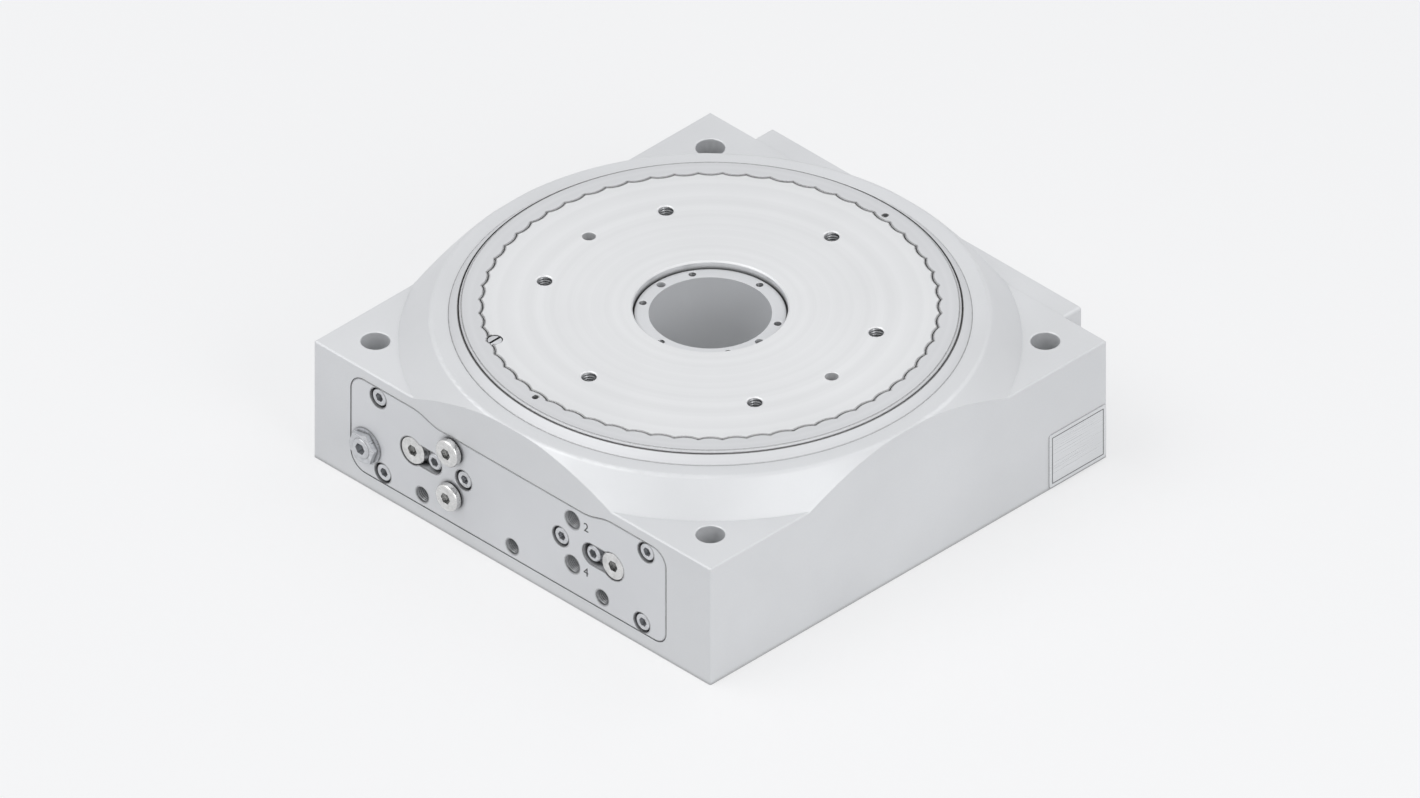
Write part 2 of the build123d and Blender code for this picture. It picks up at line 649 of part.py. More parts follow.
def ball_cage():
    low, high = SPLIT_Z - CAGE_HALF_H, SPLIT_Z + CAGE_HALF_H
    body = ring(CAGE_R[0], CAGE_R[1], low, high)
    window = Rot(0, 90, 0) * Cylinder(BALL_R + 0.15, 8.0)
    windows = [Rot(0, 0, 360.0 * i / BALLS) * Pos(BALL_CIRCLE_R, 0, SPLIT_Z) * window for i in range(BALLS)]
    return body.cut(*windows)


# Table

def scalloped_face(grow=0.0):
    """Round face whose rim is made of shallow hollows that meet in points."""
    tips = around(SCALLOPS, SCALLOP_TIP_R + grow)
    hollows = around(SCALLOPS, SCALLOP_NOTCH_R + grow, 180.0 / SCALLOPS)
    arcs = [ThreePointArc(tips[i], hollows[i], tips[(i + 1) % SCALLOPS]) for i in range(SCALLOPS)]
    return make_face(Curve() + arcs)


def lock_screw_place():
    angle = math.radians(LOCK_SCREW_ANGLE)
    return (LOCK_SCREW_CIRCLE_R * math.cos(angle), LOCK_SCREW_CIRCLE_R * math.sin(angle))


def lock_screw_room():
    return disc(LOCK_SCREW_R + 0.1, TABLE_Z - LOCK_SCREW_HEAD, TABLE_Z + 1, lock_screw_place())


def table_plate():
    body = Pos(0, 0, TABLE_UNDER_Z) * extrude(scalloped_face(), amount=TABLE_Z - TABLE_UNDER_Z)
    body = chamfer(body.faces().sort_by(Axis.Z)[-1].edges(), SCALLOP_CHAMFER)
    body += ring(FLANGE_IN_R, TABLE_R, FLANGE_Z, SPLIT_Z)
    body -= disc(TABLE_BORE_R, TABLE_UNDER_Z - 1, TABLE_Z + 1)
    body -= cone(TABLE_BORE_R, TABLE_BORE_R + 1.4, TABLE_Z - 0.7, TABLE_Z + 0.7)
    for at in around(6, BOLT_CIRCLE_R, 30.0):
        body -= drill(M8_TAP_R, TABLE_Z - M8_DEPTH, TABLE_Z, at, 0.7)
    for at in around(2, BOLT_CIRCLE_R):
        body -= drill(TABLE_DOWEL_R, TABLE_Z - TABLE_DOWEL_DEPTH, TABLE_Z, at, 0.3)
    for at in around(12, RING_SCREW_CIRCLE_R, 15.0):
        body -= disc(M3_HEAD_R + 0.35, FLANGE_Z - 1, FLANGE_Z + M3_HEAD_H + 0.3, at)
        body -= disc(M3_R + RUN, FLANGE_Z, SPLIT_Z + 1, at)
    for circle in TOOTH_SCREW_R:
        for at in around(6, circle, 15.0):
            body -= disc(M3_R + FIT, TABLE_UNDER_Z - 1, TABLE_UNDER_Z + M3_GRIP + 1, at)
    body -= lock_screw_room()
    body -= disc(M3_R + FIT, SPLIT_Z + 0.5, TABLE_Z, lock_screw_place())
    return body - race_cutter()


def rim_ring():
    body = ring(90.0, TABLE_R, SPLIT_Z, TABLE_Z)
    body = chamfer(body.faces().sort_by(Axis.Z)[-1].outer_wire().edges(), 1.0)
    hollow = Pos(0, 0, SPLIT_Z - 1) * extrude(scalloped_face(SCALLOP_GAP), amount=TABLE_Z - SPLIT_Z + 2)
    body -= hollow
    body = chamfer(body.faces().sort_by(Axis.Z)[-1].inner_wires()[0].edges(), SCALLOP_CHAMFER)
    for at in around(2, RING_HOLE_CIRCLE_R, 87.0):
        body -= disc(RING_HOLE_R, TABLE_Z - RING_HOLE_DEPTH, TABLE_Z + 1, at)
    for at in around(12, RING_SCREW_CIRCLE_R, 15.0):
        body -= disc(M3_R + FIT, SPLIT_Z - 1, SPLIT_Z + M3_GRIP + 1, at)
    body -= lock_screw_room()
    return body - race_cutter()


def rim_ring_screws():
    screws = []
    for at in around(12, RING_SCREW_CIRCLE_R, 15.0):
        head_top = FLANGE_Z + 0.3 + M3_HEAD_H
        body = disc(M3_HEAD_R, FLANGE_Z + 0.3, head_top, at) + disc(M3_R, head_top, SPLIT_Z + M3_GRIP, at)
        socket = Pos(at[0], at[1], FLANGE_Z - 1) * extrude(hexagon(2.5), amount=2.8)
        screws.append(body - socket)
    return Compound(children=screws)


def rim_lock_screw():
    """Slotted screw on the joint of plate and ring."""
    at = lock_screw_place()
    shoulder = TABLE_Z - LOCK_SCREW_HEAD
    body = disc(LOCK_SCREW_R, shoulder, TABLE_Z - 0.3, at) + disc(M3_R, SPLIT_Z + 1.0, shoulder, at)
    body = chamfer(body.faces().sort_by(Axis.Z)[-1].edges(), 0.4)
    slot = block((-0.6, 0.6), (-5.0, 5.0), (0, 3.0))
    return body - Pos(at[0], at[1], TABLE_Z - 1.8) * slot


# Crown teeth

def crown_tooth(radii, root_z, up):
    """Radial tooth that narrows towards its tip. up is 1 or -1."""
    sections = []
    sink = -0.4 * up
    for radius in radii:
        wide = radius * math.radians(CROWN_ROOT_HALF)
        thin = radius * math.radians(CROWN_TIP_HALF)
        tip = up * CROWN_TOOTH_H
        corners = ((-wide, sink), (wide, sink), (wide, 0), (thin, tip), (-thin, tip), (-wide, 0))
        outline = Polygon(*corners, align=None)
        place = Plane(origin=(radius, 0, root_z), x_dir=(0, 1, 0), z_dir=(1, 0, 0))
        sections.append(place * outline)
    return loft(sections)


def crown_teeth(radii, root_z, up, phase):
    tooth = crown_tooth(radii, root_z, up)
    pitch = 360.0 / CROWN_TEETH
    return [Rot(0, 0, phase + pitch * i) * tooth for i in range(CROWN_TEETH)]


def table_tooth_ring(back_radii, radii, screw_circle):
    """Ring under the table. Its teeth stand half a pitch off the lower ones."""
    body = ring(back_radii[0], back_radii[1], UPPER_ROOT_Z, TABLE_UNDER_Z)
    body = body.fuse(*crown_teeth(radii, UPPER_ROOT_Z, -1, 180.0 / CROWN_TEETH))
    for at in around(6, screw_circle, 15.0):
        body -= disc(M3_R + RUN, UPPER_ROOT_Z - 1, TABLE_UNDER_Z + 1, at)
    return body


def table_lock_teeth():
    return table_tooth_ring(LOCK_BACK_R, LOCK_TEETH_R, TOOTH_SCREW_R[1])


def table_drive_teeth():
    return table_tooth_ring(DRIVE_BACK_R, DRIVE_TEETH_R, TOOTH_SCREW_R[0])


def tooth_ring_screws():
    screws = []
    for circle in TOOTH_SCREW_R:
        for at in around(6, circle, 15.0):
            body = disc(M3_LOW_HEAD_R, UPPER_ROOT_Z - M3_LOW_HEAD_H, UPPER_ROOT_Z, at)
            body += disc(M3_R, UPPER_ROOT_Z, TABLE_UNDER_Z + M3_GRIP, at)
            socket = Pos(at[0], at[1], UPPER_ROOT_Z - M3_LOW_HEAD_H - 1) * extrude(hexagon(2.0), amount=2.2)
            screws.append(body - socket)
    return Compound(children=screws)


def lock_ring():
    """Ring piston with crown teeth, kept from turning by four pins."""
    inner, outer = LOCK_WALL_R[0] + RUN, LOCK_WALL_R[1] - RUN
    body = ring(inner, outer, LOCK_RING_LOW, LOWER_ROOT_Z)
    body = body.fuse(*crown_teeth(LOCK_TEETH_R, LOWER_ROOT_Z, 1, 0.0))
    body -= ring(inner - 1, inner + LOCK_SEAL_DEPTH, *LOCK_SEAL_Z)
    body -= ring(outer - LOCK_SEAL_DEPTH, outer + 1, *LOCK_SEAL_Z)
    for at in around(4, GUIDE_PIN_CIRCLE_R):
        body -= disc(GUIDE_PIN_R + RUN, LOCK_RING_LOW - 1, CROWN_TIP_Z + 1, at)
    return body


def lock_piston_seals():
    inner, outer = LOCK_WALL_R[0] + SEAL_GAP, LOCK_WALL_R[1] - SEAL_GAP
    low, high = LOCK_SEAL_Z[0] + 0.1, LOCK_SEAL_Z[1] - 0.1
    rings = [ring(inner, inner + LOCK_SEAL_DEPTH, low, high), ring(outer - LOCK_SEAL_DEPTH, outer, low, high)]
    return Compound(children=rings)


def lock_cylinder():
    body = ring(LOCK_CYL_R[0], LOCK_CYL_R[1], DECK_Z, LOCK_CYL_TOP)
    body -= ring(LOCK_WALL_R[0], LOCK_WALL_R[1], LOCK_CYL_FLOOR, LOCK_CYL_TOP + 1)
    for at in around(4, GUIDE_PIN_CIRCLE_R):
        body -= disc(GUIDE_PIN_R + FIT, DECK_Z - 1, LOCK_CYL_FLOOR + 1, at)
    return body


def lock_guide_pins():
    pins = []
    for at in around(4, GUIDE_PIN_CIRCLE_R):
        pin = disc(GUIDE_PIN_R, DECK_Z - GUIDE_PIN_SINK, LOCK_CYL_TOP, at)
        pins.append(chamfer(pin.faces().sort_by(Axis.Z)[-1].edges(), 0.3))
    return Compound(children=pins)


# Gear, clutch and racks

def involute_point(base_r, radius, offset):
    """Point of an involute flank at a radius, turned by an offset angle."""
    roll = math.sqrt(max((radius / base_r) ** 2 - 1.0, 0.0))
    angle = offset - (roll - math.atan(roll))
    return (radius * math.cos(angle), radius * math.sin(angle))


def gear_face():
    base_r = PITCH_R * math.cos(PRESSURE)
    tip_r = PITCH_R + MODULE
    root_r = PITCH_R - 1.25 * MODULE
    half_tooth = (math.pi * MODULE / 2 - BACKLASH) / (2 * PITCH_R)
    offset = half_tooth + math.tan(PRESSURE) - PRESSURE
    flank = [involute_point(base_r, r, offset) for r in (root_r, PITCH_R, tip_r)]
    pitch = 2 * math.pi / GEAR_TEETH
    edges = []

    def turned(point, turn):
        c, s = math.cos(turn), math.sin(turn)
        return (point[0] * c - point[1] * s, point[0] * s + point[1] * c)

    for i in range(GEAR_TEETH):
        left = [turned(p, i * pitch) for p in flank]
        right = [turned((p[0], -p[1]), i * pitch) for p in flank]
        following = turned((flank[0][0], -flank[0][1]), (i + 1) * pitch)
        edges.append(ThreePointArc(right[0], right[1], right[2]))
        edges.append(ThreePointArc(right[2], turned((tip_r, 0.0), i * pitch), left[2]))
        edges.append(ThreePointArc(left[2], left[1], left[0]))
        edges.append(ThreePointArc(left[0], turned((root_r, 0.0), (i + 0.5) * pitch), following))
    return make_face(Curve() + edges)


def spline_bars(r_in, r_out, width, z_low, z_high):
    bar = block((r_in, r_out), (-width / 2, width / 2), (z_low, z_high))
    return [Rot(0, 0, 360.0 * i / SPLINES) * bar for i in range(SPLINES)]


def drive_gear():
    body = Pos(0, 0, GEAR_LOW) * extrude(gear_face(), amount=GEAR_FACE)
    hub = disc(SPLINE_R[0], GEAR_HIGH - 1, GEAR_HUB_TOP)
    bars = spline_bars(SPLINE_R[0] - 2, SPLINE_R[1], SPLINE_W, GEAR_HIGH + 3, GEAR_HUB_TOP)
    body = body.fuse(hub, *bars)
    return body - disc(GEAR_BORE_R, GEAR_LOW - 1, GEAR_HUB_TOP + 1)


def clutch_ring():
    """Sliding ring on the gear's splines, with crown teeth on top."""
    body = ring(SPLINE_R[0] + SPLINE_GAP, DRIVE_TEETH_R[1], CLUTCH_LOW, LOWER_ROOT_Z)
    body = body.fuse(*crown_teeth(DRIVE_TEETH_R, LOWER_ROOT_Z, 1, 0.0))
    width = SPLINE_W + 2 * SPLINE_GAP
    slots = spline_bars(SPLINE_R[0] - 1, SPLINE_R[1] + SPLINE_GAP, width, CLUTCH_LOW - 1, CROWN_TIP_Z + 1)
    return body.cut(*slots)


def rack_tooth_gap(y):
    """Cutter for one space between rack teeth, opening towards the table's axis."""
    pitch = math.pi * MODULE
    tip_x = PITCH_R - MODULE
    root_x = PITCH_R + 1.25 * MODULE
    half_pitch_gap = pitch / 4 + BACKLASH / 2
    slope = math.tan(PRESSURE)
    mouth = half_pitch_gap + (PITCH_R - (tip_x - 1)) * slope
    foot = half_pitch_gap - (root_x - PITCH_R) * slope
    shape = Polygon((tip_x - 1, -mouth), (root_x, -foot), (root_x, foot), (tip_x - 1, mouth), align=None)
    return Pos(0, y, 0) * extrude(shape, amount=60.0)


def rack_at(side, centre_y):
    """Rack piston on the side x > 0, then mirrored for the other side."""
    half = RACK_LENGTH / 2
    body = rod_y(RACK_R, centre_y - half, centre_y + half, (BORE_X, BORE_Z))
    ends = [f.edges() for f in (body.faces().sort_by(Axis.Y)[0], body.faces().sort_by(Axis.Y)[-1])]
    body = chamfer([e for group in ends for e in group], 1.0)
    pitch = math.pi * MODULE
    first = math.floor((centre_y - RACK_TOOTHED_HALF) / pitch)
    last = math.ceil((centre_y + RACK_TOOTHED_HALF) / pitch)
    spaces = range(first, last + 1)
    flat = block((BORE_X - 20, PITCH_R - MODULE), (spaces[0] * pitch, spaces[-1] * pitch), (0, 60))
    body = body.cut(flat, *[rack_tooth_gap(i * pitch) for i in spaces])
    for end in (-1, 1):
        for inset, width, depth in ((SEAL_INSET, SEAL_W, SEAL_DEPTH), (BAND_INSET, BAND_W, BAND_DEPTH)):
            middle = centre_y + end * (half - inset)
            collar = rod_y(RACK_R + 1, middle - width / 2, middle + width / 2, (BORE_X, BORE_Z))
            collar -= rod_y(RACK_R - depth, middle - width, middle + width, (BORE_X, BORE_Z))
            body -= collar
    return body if side > 0 else mirror(body, Plane.YZ)


def rack_rings(side, centre_y, inset, width, depth):
    """Two rings near the rack's ends: seals or guide bands."""
    half = RACK_LENGTH / 2
    axis = (side * BORE_X, BORE_Z)
    rings = []
    for end in (-1, 1):
        middle = centre_y + end * (half - inset)
        outer = rod_y(BORE_R - SEAL_GAP, middle - width / 2 + 0.1, middle + width / 2 - 0.1, axis)
        rings.append(outer - rod_y(RACK_R - depth + 0.1, middle - width, middle + width, axis))
    return Compound(children=rings)


def striker_screw_place():
    return (STRIKER_SCREW_X, (STRIKER_Y[0] + STRIKER_Y[1]) / 2)


def rack_left():
    body = rack_at(-1, HALF_STROKE)
    low, high = STRIKER_Y
    body -= block((-BORE_X - 20, STRIKER_X[1] + FIT), (low - FIT, high + FIT), (0, STRIKER_Z[1] + FIT))
    return body - disc(M4_R + FIT, STRIKER_Z[1] - 1, STRIKER_Z[1] + 12.0, striker_screw_place())


def striker():
    """Arm on the left rack that meets the absorber's rod."""
    body = block(STRIKER_X, STRIKER_Y, STRIKER_Z)
    outer = body.edges().filter_by(Axis.Y).sort_by(Axis.X)[:2]
    body = fillet(outer, 3.0)
    at = striker_screw_place()
    body -= disc(M4_HEAD_R + 0.2, STRIKER_Z[0] - 1, STRIKER_Z[0] + M4_HEAD_H + 0.3, at)
    body -= disc(M4_R + RUN, STRIKER_Z[0], STRIKER_Z[1] + 1, at)
    return body


def striker_screw():
    at = striker_screw_place()
    seat = STRIKER_Z[0] + 0.3 + M4_HEAD_H
    body = disc(M4_HEAD_R, STRIKER_Z[0] + 0.3, seat, at) + disc(M4_R, seat, STRIKER_Z[1] + 11.0, at)
    return body - Pos(at[0], at[1], STRIKER_Z[0]) * extrude(hexagon(3.0), amount=2.4)


# Shock absorber

def absorber_body():
    body = rod_y(ABSORBER_R, ABSORBER_FRONT, ABSORBER_BACK, ABSORBER_AT)
    ends = (body.faces().sort_by(Axis.Y)[0], body.faces().sort_by(Axis.Y)[-1])
    body = chamfer([e for f in ends for e in f.edges()], 0.5)
    body -= rod_y(ABSORBER_OIL_R, ABSORBER_BACK - 40.0, ABSORBER_BACK - 3.0, ABSORBER_AT)
    body -= rod_y(ABSORBER_ROD_R + RUN, ABSORBER_BACK - 5.0, ABSORBER_BACK + 1, ABSORBER_AT)
    return body - prism_y(Pos(*ABSORBER_AT) * hexagon(5.0), ABSORBER_FRONT - 1, ABSORBER_FRONT + 4.0)


def absorber_rod():
    cap_back = STRIKER_FRONT - 2.6
    body = rod_y(ABSORBER_ROD_R, ABSORBER_BACK - 16.0, cap_back, ABSORBER_AT)
    body += rod_y(ABSORBER_OIL_R - RUN, ABSORBER_BACK - 20.0, ABSORBER_BACK - 16.0, ABSORBER_AT)
    cap = rod_y(3.5, cap_back, STRIKER_FRONT - 0.4, ABSORBER_AT)
    return body + chamfer(cap.faces().sort_by(Axis.Y)[-1].edges(), 0.5)


def absorber_washer():
    body = rod_y(8.75, FRONT - ABSORBER_WASHER_T, FRONT, ABSORBER_AT)
    return body - rod_y(ABSORBER_R + RUN, FRONT - 2, FRONT + 1, ABSORBER_AT)


def absorber_nut():
    back = FRONT - ABSORBER_WASHER_T
    front = back - ABSORBER_NUT_T
    body = prism_y(Pos(*ABSORBER_AT) * hexagon(14.0, 10.0), front, back)
    body &= tapered_y(7.2, 7.2 + ABSORBER_NUT_T * 1.8, front, back, ABSORBER_AT)
    return body - rod_y(ABSORBER_R + FIT, back - 5, back + 1, ABSORBER_AT)


# Base plate over the striker's pit, and the name plate

def pit_plate():
    x, y = pit_plate_limits(PLATE_MARGIN - 0.15)
    body = block(x, y, (0.1, PLATE_T))
    body = fillet(body.edges().filter_by(Axis.Z), 1.0)
    for at in pit_screw_places():
        body -= disc(M3_R + RUN, -1, PLATE_T + 1, at)
        body -= cone(2.9 + RUN, M3_R + RUN, 0.1, 1.7, at)
    return body


def pit_plate_screws():
    screws = []
    for at in pit_screw_places():
        body = cone(2.9, M3_R, 0.2, 1.7, at) + disc(M3_R, 1.7, PLATE_T + 7.0, at)
        screws.append(body - Pos(at[0], at[1], -0.8) * extrude(hexagon(2.0), amount=2.2))
    return Compound(children=screws)


def label_plate():
    body = block((HALF, HALF + LABEL_T), LABEL_Y, LABEL_Z)
    return fillet(body.edges().filter_by(Axis.X), 1.2)


def piston_seals(side, centre_y):
    return rack_rings(side, centre_y, SEAL_INSET, SEAL_W, SEAL_DEPTH)


def guide_bands(side, centre_y):
    return rack_rings(side, centre_y, BAND_INSET, BAND_W, BAND_DEPTH)


os.makedirs("parts", exist_ok=True)
PIECES = {
    "housing": housing(),
    "front_cover": front_cover(),
    "front_gasket": front_gasket(),
    "front_cover_screws": front_cover_screws(),
    "port_plugs": port_plugs(),
    "port_plug_seals": port_plug_seals(),
    "cylinder_plugs": cylinder_plugs(),
    "throttle_left": throttle(-1),
    "throttle_right": throttle(1),
    "rear_cover": rear_cover(),
    "rear_gasket": rear_gasket(),
    "rear_cover_screws": rear_cover_screws(),
    "cover_o_rings": cover_o_rings(),
    "centre_hub": centre_hub(),
    "hub_screws": hub_screws(),
    "gear_bush": gear_bush(),
    "gear_retaining_ring": gear_retaining_ring(),
    "outer_bearing_ring": outer_bearing_ring(),
    "bearing_balls": bearing_balls(),
    "ball_cage": ball_cage(),
    "table_plate": table_plate(),
    "rim_ring": rim_ring(),
    "rim_ring_screws": rim_ring_screws(),
    "rim_lock_screw": rim_lock_screw(),
    "table_lock_teeth": table_lock_teeth(),
    "table_drive_teeth": table_drive_teeth(),
    "tooth_ring_screws": tooth_ring_screws(),
    "lock_ring": lock_ring(),
    "lock_piston_seals": lock_piston_seals(),
    "lock_cylinder": lock_cylinder(),
    "lock_guide_pins": lock_guide_pins(),
    "drive_gear": drive_gear(),
    "clutch_ring": clutch_ring(),
    "rack_left": rack_left(),
    "rack_right": rack_at(1, -HALF_STROKE),
    "piston_seals_left": piston_seals(-1, HALF_STROKE),
    "piston_seals_right": piston_seals(1, -HALF_STROKE),
    "guide_bands_left": guide_bands(-1, HALF_STROKE),
    "guide_bands_right": guide_bands(1, -HALF_STROKE),
    "striker": striker(),
    "striker_screw": striker_screw(),
    "absorber_body": absorber_body(),
    "absorber_rod": absorber_rod(),
    "absorber_washer": absorber_washer(),
    "absorber_nut": absorber_nut(),
    "pit_plate": pit_plate(),
    "pit_plate_screws": pit_plate_screws(),
    "label_plate": label_plate(),
}
for name, shape in PIECES.items():
    save(name, shape)
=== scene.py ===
"""Looks of a pneumatic rotary indexing table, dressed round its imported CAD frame.

Metres. +Z is up, the origin lies on the table's axis in the base plane, and the control face
looks towards -Y.
"""
from collections import namedtuple
import math

import bpy
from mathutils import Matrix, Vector

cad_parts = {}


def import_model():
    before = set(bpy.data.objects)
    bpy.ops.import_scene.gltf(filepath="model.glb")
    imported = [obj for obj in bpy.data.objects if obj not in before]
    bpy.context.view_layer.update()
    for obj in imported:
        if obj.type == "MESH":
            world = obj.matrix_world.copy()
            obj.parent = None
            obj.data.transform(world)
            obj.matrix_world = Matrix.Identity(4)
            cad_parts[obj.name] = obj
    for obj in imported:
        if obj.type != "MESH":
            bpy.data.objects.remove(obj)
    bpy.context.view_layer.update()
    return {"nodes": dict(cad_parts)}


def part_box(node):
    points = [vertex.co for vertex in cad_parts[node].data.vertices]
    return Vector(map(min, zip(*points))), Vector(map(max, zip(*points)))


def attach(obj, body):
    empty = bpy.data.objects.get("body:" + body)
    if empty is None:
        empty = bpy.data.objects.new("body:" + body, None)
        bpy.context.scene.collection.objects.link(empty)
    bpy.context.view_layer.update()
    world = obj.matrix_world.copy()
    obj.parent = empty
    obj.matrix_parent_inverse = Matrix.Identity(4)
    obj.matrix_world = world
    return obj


MM = 0.001

# View of the photograph: a true isometric, with the width that the frame takes in
VIEW_AZIMUTH = math.radians(45.0)
VIEW_ELEVATION = math.atan(1 / math.sqrt(2))
VIEW_WIDTH = 0.6205
VIEW_TARGET = Vector((-0.0001, -0.0001, 0.0308))
VIEW_DISTANCE = 1.6
VIEW_REACH = 20.0

# Lamps: name, place, aim, diameter, power
LAMPS = (
    ("key", (-0.75, -0.9, 1.9), (0, 0, 0.04), 2.0, 15.0),
    ("fill", (1.5, -0.3, 0.9), (0, 0, 0.04), 1.1, 7.0),
    ("rear", (0.3, 1.2, 1.7), (0, 0, 0.06), 1.6, 4.0),
)
SKY = (0.93, 0.95, 1.0)
SKY_STRENGTH = 0.50

# Floor: colour, share of plain white that the viewer sees in it, half its side, gap under the base
FLOOR = (0.93, 0.93, 0.93)
FLOOR_GLOW = 0.55
FLOOR_HALF = 6.0
FLOOR_DROP = 0.05 * MM

# Places on the CAD model
FRONT_Y = -0.1225
TABLE_TOP = 0.0805
CORE_TOP = 0.0769
CIRCLE_HOLES = 6
FIRST_HOLE_ANGLE = 30.0
BOLT_CIRCLE_R = 0.075
CORE_CIRCLE_R = 0.0305
PORTS = (("2", 0.0372, 0.0458), ("4", 0.0372, 0.0221))
SENSORS = ((-0.0556, 0.013), (0.0, 0.013), (0.0556, 0.0135))

# Inside threads, and how far below the face each has its mouth
Thread = namedtuple("Thread", "wall_r ridge pitch depth")
M8 = Thread(3.4 * MM, 0.32 * MM, 1.25 * MM, 9.0 * MM)
M4 = Thread(1.65 * MM, 0.18 * MM, 0.7 * MM, 6.0 * MM)
PORT_THREAD = Thread(4.4 * MM, 0.28 * MM, 0.907 * MM, 7.0 * MM)
SENSOR_THREAD = Thread(3.75 * MM, 0.26 * MM, 1.0 * MM, 9.0 * MM)
M8_MOUTH = 0.4 * MM
M4_MOUTH = 0.2 * MM
FRONT_MOUTH = 0.23 * MM

# Ridge of a thread: steps in a turn, steps in which its ends fade, how deep its foot lies in the
# wall, and in pitches its start below the mouth and the half widths of its foot and crest
RIDGE_STEPS = 28
RIDGE_FADE = 10
RIDGE_ROOT = 0.02 * MM
RIDGE_START = 0.5
RIDGE_FOOT = 0.46
RIDGE_CREST = 0.07

# Port numbers: place beside the ports, height of the digits, height of a digit in a font of size
# 1, half their thickness, how far their middle stands off the cover, steps of their curves
MARK_X = 0.0441
MARK_HEIGHT = 0.0046
DIGIT_HEIGHT = 0.72
MARK_EXTRUDE = 0.03 * MM
MARK_PROUD = 0.02 * MM
MARK_RESOLUTION = 6

# Border of the name plate: distance from the plate's edge, width, height over the plate
BORDER_INSET = 1.6 * MM
BORDER_WIDTH = 0.35 * MM
BORDER_PROUD = 0.04 * MM

# Colours, linear
ALUMINIUM = (0.73, 0.737, 0.745)
FRONT_ALUMINIUM = (0.73, 0.737, 0.75)
WORN_ALUMINIUM = (0.83, 0.835, 0.84)
STEEL = (0.78, 0.785, 0.79)
RING_STEEL = (0.68, 0.685, 0.695)
WORN_STEEL = (0.90, 0.90, 0.905)
HARD_STEEL = (0.34, 0.34, 0.35)
# Thread ridges: steel darkened to paint the shade inside the holes
THREAD_PAINTED_SHADE = (0.30, 0.305, 0.315)
ZINC = (0.62, 0.63, 0.65)
NICKEL = (0.68, 0.68, 0.675)
BLACK_OXIDE = (0.025, 0.025, 0.028)
RUBBED_OXIDE = (0.30, 0.30, 0.31)
BRONZE = (0.50, 0.31, 0.14)
RUBBER = (0.015, 0.015, 0.016)
DUST = (0.09, 0.09, 0.09)
PLASTIC = (0.05, 0.042, 0.035)
FOIL = (0.74, 0.75, 0.76)
# Painted shade of the dark lines along edges and seams
SEAM_SHADE = (0.03, 0.028, 0.025)
INK = (0.02, 0.02, 0.022)
WHITE = (1.0, 1.0, 1.0)
BLACK = (0.0, 0.0, 0.0)

# Edges: cosine between rounded and true normal at which an edge is fully marked
EDGE_FULL = 0.80
BEVEL_SAMPLES = 4

# Painted shade lines on edges: width, cosine of a full mark, strength, and the radii that they
# have on the table, at the scalloped joint, the rim's edge and the collar's edge
SHADE_LINE_WIDTH = 1.1 * MM
SHADE_LINE_FULL = 0.92
SHADE_LINE_STRENGTH = 0.92
SHADE_LINE_RADII = ((0.0978, 0.1022), (0.1084, 0.1108), (0.1138, 0.1150))

# Lathe marks: noise scales of the fine and the broad rings, as shares of a finish's groove
FINE_RINGS = 4.2
BROAD_RINGS = 0.35

# Painted cavity shade: range of openness that goes from fully shaded to unshaded
CAVITY_SHADE_BAND = (0.25, 0.85)
CAVITY_SHADE_SAMPLES = 6

# Range that holds most of a noise texture's values, and the whole range of a factor
NOISE_BAND = (0.3, 0.7)
FULL_RANGE = (0.0, 1.0)


# Node helpers

